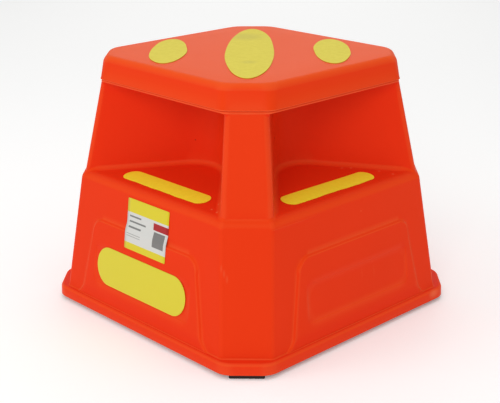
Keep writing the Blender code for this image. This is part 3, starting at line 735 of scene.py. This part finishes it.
def rubberFeet():
    values = footValues
    front = rimCorners - values["inset"]
    back = front - values["depth"]
    top = body.footStand - values["gap"]
    plugFront = rimCorners - body.lipLean - body.wall - values["gap"]
    plugBack = narrowDistance(ledgeHeight - body.wall, body.wall) + values["gap"]
    plugTop = ledgeHeight - body.wall - values["gap"]
    bevel, topBevel, plugBevel = values["bevel"], values["topBevel"], values["plugBevel"]
    (rise, inwards), (drop, topInwards) = values["bevelBend"], values["topBevelBend"]
    # height, inset, and 1 for the plug
    levels = [(0, bevel, 0), (rise, inwards, 0), (bevel, 0, 0), (top - topBevel, 0, 0),
              (top - drop, topInwards, 0), (top, topBevel, 0), (top, 0, 1), (plugTop - plugBevel, 0, 1),
              (plugTop, plugBevel, 1)]
    rings = []
    for height, inset, plug in levels:
        ends = (plugBack + inset, plugFront - inset) if plug else (back + inset, front - inset)
        half = (values["plugHalf"] if plug else values["half"]) - inset
        outline = roundedRectangle(half, *ends, values["round"], 7)
        rings.append(np.column_stack([outline, np.full(len(outline), height)]))
    low, high = ((back + front) / 2, 0, 0), ((plugBack + plugFront) / 2, 0, plugTop)
    points, faces = closedGrid(np.array(rings), low, high)
    feet = []
    for turn, side in enumerate(("right", "back", "left", "front")):
        foot = meshObject("foot_" + side, points @ turned(math.pi / 4 + turn * math.pi / 2), faces)
        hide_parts("rubber_foot_" + side)
        feet.append(foot)
    print("feet:", len(feet))
    return feet


# Camera, floor and light
cameraValues = {"place": (1309.6, -1254.4, 799.1), "heading": 46.275, "tilt": 70.78, "roll": -0.267,
                "lens": 79.93, "reach": 60000}


def addCamera(values):
    data = bpy.data.cameras.new("camera")
    data.lens = values["lens"]
    data.sensor_fit = "HORIZONTAL"
    data.clip_end = values["reach"] * mm
    camera = addObject("camera", data)
    pose = Matrix.Translation([v * mm for v in values["place"]])
    for turn, axis in (("heading", "Z"), ("tilt", "X"), ("roll", "Z")):
        pose = pose @ Matrix.Rotation(math.radians(values[turn]), 4, axis)
    camera.matrix_world = pose
    bpy.context.scene.camera = camera


def linear(hexColour):
    # sRGB hex to linear: (c / 12.92) below 0.04045, else ((c + 0.055) / 1.055) ^ 2.4
    parts = [int(hexColour[k:k + 2], 16) / 255 for k in (1, 3, 5)]
    return tuple(c / 12.92 if c <= 0.04045 else ((c + 0.055) / 1.055) ** 2.4 for c in parts) + (1,)


def addNode(tree, kind, values=None):
    # one node: values by property, or by a socket's name or number, where a pair (node, output) is a link
    node = tree.nodes.new(kind)
    for key, value in (values or {}).items():
        if isinstance(value, tuple) and isinstance(value[0], bpy.types.Node):
            tree.links.new(value[0].outputs[value[1]], node.inputs[key])
        elif isinstance(key, str) and hasattr(node, key):
            setattr(node, key, value)
        else:
            node.inputs[key].default_value = value
    return node


def mathNode(tree, operation, *terms, kind="ShaderNodeMath"):
    # a math node on its terms, each a plain value or a pair (node, output); gives such a pair
    node = addNode(tree, kind, {"operation": operation, **dict(enumerate(terms))})
    return node, "Value" if operation == "LENGTH" else 0


def vectorNode(tree, operation, *terms):
    return mathNode(tree, operation, *terms, kind="ShaderNodeVectorMath")


def mixNode(tree, share, first, second):
    # colours: first + (second - first) * share
    return addNode(tree, "ShaderNodeMix", {"data_type": "RGBA", "Factor": share, 6: first, 7: second}), 2


def noiseNode(tree, place, size, detail):
    # clouds of noise, one to a size in millimetres
    return addNode(tree, "ShaderNodeTexNoise", {
        "Scale": 1 / (size * mm), "Detail": detail, "Vector": (place, "Object")}), "Fac"


def bumpNode(tree, strength, rise, height, **more):
    return addNode(tree, "ShaderNodeBump", {
        "Strength": strength, "Distance": rise * mm, "Height": height, **more}), 0


def newMaterial(name, values):
    # a material and its shader, with what is the same all over set on the shader's own sockets
    material = bpy.data.materials.new(name)
    material.use_nodes = True
    shader = material.node_tree.nodes["Principled BSDF"]
    for socket, value in values.items():
        shader.inputs[socket].default_value = value
    return material, material.node_tree, shader


def joinTo(tree, source, shader, socket):
    node, output = source
    tree.links.new(node.outputs[output], shader.inputs[socket])


# a mark of wear has its full strength inside this share of its half axes, and fades out to their ends
markCoreShare = 0.3


def wearMarks(tree, place, ground, marks):
    # soft ellipsoids: strength * (1 - length((p - middle) / half axes)) / (1 - core share), from 0 to strength
    last = ground
    for colour, rows in marks.items():
        for middle, halves, strength in rows:
            offset = vectorNode(tree, "SUBTRACT", (place, "Object"), [v * mm for v in middle])
            scaled = vectorNode(tree, "DIVIDE", offset, tuple(np.ones(3) * halves * mm))
            share = addNode(tree, "ShaderNodeMapRange", {
                "From Min": 1.0, "From Max": markCoreShare, "To Max": strength,
                "Value": vectorNode(tree, "LENGTH", scaled)})
            last = mixNode(tree, (share, 0), last, linear(colour))
    return last


# pale scuffs, bumps and scratches, then dark specks in the recesses: middle, half axes and strength, where one
# number stands for three equal half axes
plasticMarks = {
    "#F08A5C": [
        ((230.6, 21.8, 202.9), 1.2, 0.5), ((203.8, 9.4, 392.0), 1.2, 0.6),
        ((202.6, -2.3, 399.1), 1.3, 0.6), ((260.6, 186.0, 18.0), (5, 15, 9), 0.35),
        ((246.1, 40.4, 100.0), (3, 0.45, 15), 0.22), ((245.5, 11.2, 103.0), (3, 0.45, 14), 0.2),
        ((176.6, -236.8, 173.8), (2.4, 2.4, 9), 0.12), ((180.8, -234.8, 164.8), (2.4, 2.4, 9), 0.12),
        ((184.9, -232.7, 155.9), (2.4, 2.4, 9), 0.12), ((189.0, -230.6, 147.6), (2.4, 2.4, 9), 0.12),
        ((125.7, -187.7, 238.9), 2.6, 0.6), ((130.0, -206.3, 236.9), 2.4, 0.6),
        ((145.3, -209.2, 236.6), 2.6, 0.6), ((143.6, 72.7, 243.7), (2.5, 4, 2.5), 0.4),
        ((152.2, 85.5, 242.8), (2.5, 3, 2.5), 0.4), ((187.8, 115.3, 238.9), (3, 3, 2.5), 0.4),
        ((209.9, 125.0, 236.6), (3, 3, 2.5), 0.4),
    ],
    "#5A0F08": [((-36.5, -91.4, 289.0), 1.8, 0.8), ((87.1, -30.8, 304.8), 1.8, 0.8)],
}
# the two paler colours after colour and shade are painted light: a painted sheen and highlight on faces that look
# up, then a painted highlight on tight edges and fillets
plasticValues = {
    "colour": "#E83010", "shade": "#E22D0E", "paintedSheen": "#EC5014", "edgeHighlight": "#EE6638", "marks": plasticMarks,
    "roughness": 0.42, "roughSpread": 0.03, "gloss": 0.04, "bloom": 0.07, "bloomColour": "#FFB060",
    "bloomRoughness": 0.5, "paintedSheenGain": 1.6, "edgeGain": 16.0, "edgeStart": 0.006,
    "waveSize": 120.0, "waveDetail": 3.0, "waveRise": 1.2, "waveStrength": 0.35,
    "peelSize": 1.6, "peelDetail": 2.0, "peelRise": 0.12, "peelStrength": 0.12,
}


def paintedSheenShare(tree, place, values):
    # painted sheen and highlight, a paler colour where faces look up: gain * n * (1 - n), a painted highlight on
    # shoulder and lip, or n where that is more and the spot is on the platform's top, a painted sheen, with n the
    # upward share of the normal
    surface = addNode(tree, "ShaderNodeNewGeometry")
    normal = addNode(tree, "ShaderNodeSeparateXYZ", {0: (surface, "Normal")})
    spot = addNode(tree, "ShaderNodeSeparateXYZ", {0: (place, "Object")})
    up = mathNode(tree, "MAXIMUM", (normal, 2), 0.0)
    rest = mathNode(tree, "SUBTRACT", 1.0, up)
    hump = mathNode(tree, "MULTIPLY", mathNode(tree, "MULTIPLY", up, rest), values["paintedSheenGain"])
    high = mathNode(tree, "GREATER_THAN", (spot, 2), (platformHeight - body.capRound) * mm)
    return mathNode(tree, "MAXIMUM", hump, mathNode(tree, "MULTIPLY", up, high))


def edgeShare(tree, values):
    # painted highlight, a paler colour on tight edges and fillets where the real moulding catches light: gain *
    # (abs(pointiness - 0.5) - start), from 0 to 1
    surface = addNode(tree, "ShaderNodeNewGeometry")
    bend = mathNode(tree, "SUBTRACT", (surface, "Pointiness"), 0.5)
    tight = mathNode(tree, "SUBTRACT", mathNode(tree, "ABSOLUTE", bend), values["edgeStart"])
    share, output = mathNode(tree, "MULTIPLY", tight, values["edgeGain"])
    share.use_clamp = True
    return share, output


def mouldedPolyethylene(values):
    # pigmented polyethylene, satin from the mould: soft broad highlights, a faint peel and slow waves
    material, tree, shader = newMaterial("moulded_polyethylene", {
        "IOR": 1.5, "Specular IOR Level": values["gloss"], "Sheen Weight": values["bloom"],
        "Sheen Roughness": values["bloomRoughness"], "Sheen Tint": linear(values["bloomColour"])})
    place = addNode(tree, "ShaderNodeTexCoord")
    cloud = noiseNode(tree, place, values["waveSize"], values["waveDetail"])
    plain = mixNode(tree, cloud, linear(values["colour"]), linear(values["shade"]))
    # a paler colour painted as sheen and highlight on faces that look up
    withSheen = mixNode(tree, paintedSheenShare(tree, place, values), plain, linear(values["paintedSheen"]))
    # a paler colour painted as highlight on tight edges and fillets
    edged = mixNode(tree, edgeShare(tree, values), withSheen, linear(values["edgeHighlight"]))
    joinTo(tree, wearMarks(tree, place, edged, values["marks"]), shader, "Base Color")
    rough = addNode(tree, "ShaderNodeMapRange", {
        "To Min": values["roughness"] - values["roughSpread"],
        "To Max": values["roughness"] + values["roughSpread"], "Value": cloud})
    joinTo(tree, (rough, 0), shader, "Roughness")
    peel = noiseNode(tree, place, values["peelSize"], values["peelDetail"])
    waves = bumpNode(tree, values["waveStrength"], values["waveRise"], cloud)
    grain = bumpNode(tree, values["peelStrength"], values["peelRise"], peel, Normal=waves)
    joinTo(tree, grain, shader, "Normal")
    return material


smudges = {"#A89E58": [((-92, 78, 431.0), (42, 42, 6), 0.26), ((64.3, -64.1, 431.0), (16, 16, 4), 0.2)]}
# two copies of one grip tape, tinted for how light falls on them: the platform's copy is paler, a painted sheen,
# and the treads' copy brighter and more yellow, painted light that makes up for their shade under the platform
topTapeValues = {"low": "#DACA3E", "high": "#E2D34A", "marks": smudges}
treadTapeValues = {"low": "#F0E61C", "high": "#F6EC28", "marks": {}}
gritValues = {"roughness": 0.8, "grain": 0.55, "grainDetail": 3.0, "grainShare": 0.6, "mottle": 7.0,
              "mottleDetail": 4.0, "from": 0.55, "to": 1.05, "rise": 0.15, "strength": 0.2}


def gripTape(values, grit):
    # mineral grit bonded on film: matt, with a sandy grain and a fine mottle of lighter and darker grains
    material, tree, shader = newMaterial("mineral_grit_tape", {"Roughness": grit["roughness"]})
    place = addNode(tree, "ShaderNodeTexCoord")
    grain = noiseNode(tree, place, grit["grain"], grit["grainDetail"])
    mottle = noiseNode(tree, place, grit["mottle"], grit["mottleDetail"])
    both = mathNode(tree, "MULTIPLY_ADD", grain, grit["grainShare"], mottle)
    share = addNode(tree, "ShaderNodeMapRange", {
        "From Min": grit["from"], "From Max": grit["to"], "Value": both})
    colour = mixNode(tree, (share, 0), linear(values["low"]), linear(values["high"]))
    joinTo(tree, wearMarks(tree, place, colour, values["marks"]), shader, "Base Color")
    joinTo(tree, bumpNode(tree, grit["strength"], grit["rise"], grain), shader, "Normal")
    return material


# printed fields of the label: left, right, bottom, top and ink, in a space that holds the whole film
labelDepth = (-260, 0)
labelFields = [
    (-60, 70, 197.2, 230, "#D6C61C"), (-60, 70, 130, 148.2, "#D6C61C"), (22, 70, 182, 193.4, "#A70F16"),
    (24.5, 52, 156, 179.6, "#787674"), (-38, -9, 189.6, 192.4, "#797977"), (-38, 3, 180.9, 183.7, "#797977"),
    (-38, -7, 172.3, 175.1, "#797977"), (-40, -6, 162.4, 163.6, "#9C9C98"), (-40, -6, 158.6, 159.8, "#9C9C98"),
]
filmValues = {"label": "#CFCFCB", "sticker": "#D6C92A", "roughness": 0.35, "gloss": 0.3, "fieldRound": 0.4}


def printedFilm(name, ground, fields, values):
    # printed film with a satin laminate, and flat fields of ink: each a box with round corners,
    # length(max(|p - middle| - half size + round, 0)) < round
    material, tree, shader = newMaterial(name, {
        "Base Color": linear(ground), "Roughness": values["roughness"], "Specular IOR Level": values["gloss"]})
    radius = values["fieldRound"] * mm
    place = addNode(tree, "ShaderNodeTexCoord") if fields else None
    last = linear(ground)
    for left, right, bottom, top, ink in fields:
        low, high = np.array([(left, labelDepth[0], bottom), (right, labelDepth[1], top)]) * mm
        offset = vectorNode(tree, "SUBTRACT", (place, "Object"), tuple((low + high) / 2))
        size = vectorNode(tree, "ABSOLUTE", offset)
        over = vectorNode(tree, "SUBTRACT", size, tuple((high - low) / 2 - radius))
        far = vectorNode(tree, "LENGTH", vectorNode(tree, "MAXIMUM", over))
        last = mixNode(tree, mathNode(tree, "LESS_THAN", far, radius), last, linear(ink))
    if fields:
        joinTo(tree, last, shader, "Base Color")
    return material


rubberValues = {"colour": "#241D1B", "roughness": 0.8, "gloss": 0.3, "grain": 0.8, "grainDetail": 2.0,
                "rise": 0.1, "strength": 0.3}


def blackRubber(values):
    # moulded rubber, dull, with a fine grain
    material, tree, shader = newMaterial("moulded_rubber", {
        "Base Color": linear(values["colour"]), "Roughness": values["roughness"],
        "Specular IOR Level": values["gloss"]})
    grain = noiseNode(tree, addNode(tree, "ShaderNodeTexCoord"), values["grain"], values["grainDetail"])
    joinTo(tree, bumpNode(tree, values["strength"], values["rise"], grain), shader, "Normal")
    return material


floorValues = {"size": 30000, "colour": "#FAFAF9", "roughness": 0.9, "glow": 0.14}


def addFloor(values):
    # pale and plain, with a little light of its own, like a lit studio sheet
    corners = np.array([(-1, -1, 0), (1, -1, 0), (1, 1, 0), (-1, 1, 0)]) * values["size"] * mm / 2
    mesh = bpy.data.meshes.new("floor")
    mesh.from_pydata(corners.tolist(), [], [(0, 1, 2, 3)])
    floor = addObject("floor", mesh)
    material, _, _ = newMaterial("pale_floor", {
        "Base Color": linear(values["colour"]), "Roughness": values["roughness"],
        "Emission Color": (1, 1, 1, 1), "Emission Strength": values["glow"]})
    mesh.materials.append(material)


# soft area lights that look at the middle of the step, by name, place, size and power, in an even white world
lights = [
    ("left", (-1500, -2600, 1600), 1600, 12), ("front", (1950, -2600, 1900), 1600, 30),
    ("top", (0, 0, 3000), 2200, 17), ("back", (-2600, 2600, 1900), 2200, 11),
]
aimHeight = 200
worldStrength = 0.60


def addLights():
    aim = Vector((0, 0, aimHeight * mm))
    for name, spot, size, power in lights:
        data = bpy.data.lights.new(name, "AREA")
        data.size = size * mm
        data.energy = power
        light = addObject(name, data)
        light.location = [v * mm for v in spot]
        light.rotation_euler = (light.location - aim).to_track_quat("Z", "Y").to_euler()
    world = bpy.data.worlds.new("studio")
    world.use_nodes = True
    background = world.node_tree.nodes["Background"]
    background.inputs["Color"].default_value = (1, 1, 1, 1)
    background.inputs["Strength"].default_value = worldStrength
    bpy.context.scene.world = world
    bpy.context.scene.view_settings.view_transform = "Standard"


mouldedBody().data.materials.append(mouldedPolyethylene(plasticValues))
# the platform and tread tapes are lit and shaded copies of one tape, with painted sheen and painted light in
# their colours
topTape, treadTape = gripTape(topTapeValues, gritValues), gripTape(treadTapeValues, gritValues)
for tape in gripTapes():
    tape.data.materials.append(treadTape if tape.name.startswith("tread") else topTape)
labelMaterial = printedFilm("printed_label_film", filmValues["label"], labelFields, filmValues)
productLabel().data.materials.append(labelMaterial)
ovalSticker().data.materials.append(printedFilm("printed_sticker_film", filmValues["sticker"], [], filmValues))
print("label and sticker are on")
rubberMaterial = blackRubber(rubberValues)
for foot in rubberFeet():
    foot.data.materials.append(rubberMaterial)
addCamera(cameraValues)
addFloor(floorValues)
addLights()
print("camera, floor and lights are in")
